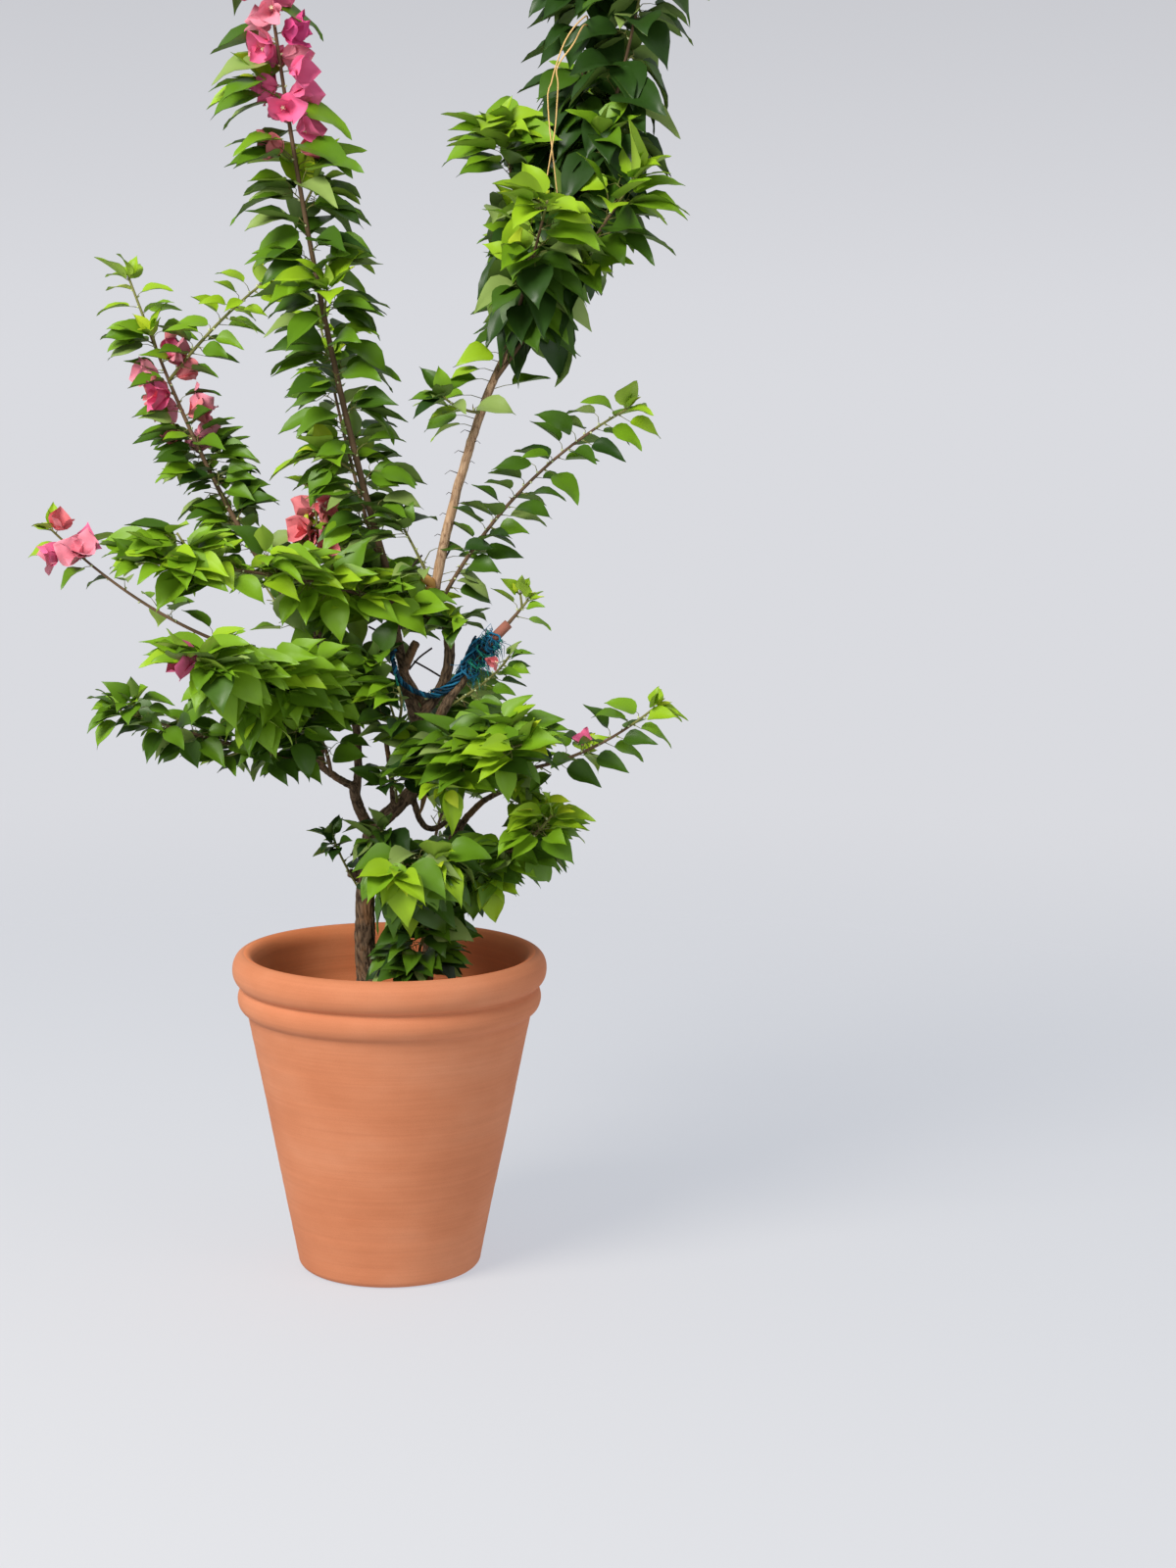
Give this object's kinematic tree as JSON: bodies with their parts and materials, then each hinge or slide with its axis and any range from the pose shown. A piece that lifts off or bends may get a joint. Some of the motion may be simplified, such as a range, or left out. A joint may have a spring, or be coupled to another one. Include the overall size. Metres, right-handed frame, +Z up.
{
  "type": "bougainvillea bush in a terracotta pot",
  "caption": "Open, many-stemmed bougainvillea bush with long leafy arching shoots and pink bracts, growing from soil in a round tapered terracotta pot with a rolled rim.",
  "frame": {"origin": "centre of the pot's flat underside, on the surface it stands on", "axes": "+Z up along the pot's axis; +X to the right and +Y to the back, seen from the front"},
  "size_m": [0.8474, 0.7136, 1.8733],
  "materials": {
    "terracotta": "unglazed terracotta, smooth and matt, with faint turning lines",
    "soil": "dark crumbly potting soil",
    "bark": "grey-brown fissured bark, tan on young stems",
    "foliage": "smooth mid-green leaves, lime at the tips, with pink papery bracts"
  },
  "bodies": {
    "root": {"pot": "terracotta", "soil": "soil", "trunk": "bark", "second_stem": "bark", "right_limb": "bark", "left_limb": "bark", "left_lower_bough": "bark", "left_rising_bough": "bark", "centre_limb": "bark", "middle_bough": "bark", "cross_bough": "bark", "upper_left_bough": "bark", "upper_right_bough": "bark", "tall_right_bough": "bark", "right_low_bough": "bark", "right_short_bough": "bark", "left_tall_shoot": "foliage", "left_mid_shoot": "foliage", "left_level_shoot": "foliage", "left_long_shoot": "foliage", "left_front_shoot": "foliage", "left_lower_shoot": "foliage", "left_lower_fan": "foliage", "bloom_shoot": "foliage", "top_right_crown": "foliage", "right_crown_shoot": "foliage", "lime_fan": "foliage", "right_top_shoot": "foliage", "left_top_shoot": "foliage", "bare_stem_shoot": "foliage", "right_sparse_shoot": "foliage", "right_short_shoot": "foliage", "right_level_shoot": "foliage", "right_fan": "foliage", "low_right_shoot": "foliage", "low_front_shoot": "foliage", "pot_shoot": "foliage", "trunk_shoot": "foliage", "right_low_shoot": "foliage", "middle_shoot": "foliage", "inner_shoot": "foliage", "back_left_shoot": "foliage", "back_middle_shoot": "foliage", "back_right_shoot": "foliage", "back_low_shoot": "foliage", "back_tall_shoot": "foliage", "back_top_shoot": "foliage", "right_inner_shoot": "foliage", "right_edge_shoot": "foliage", "fork_shoot": "foliage", "trunk_front_shoot": "foliage", "stem_foot_shoot": "foliage"}
  },
  "joints": []
}
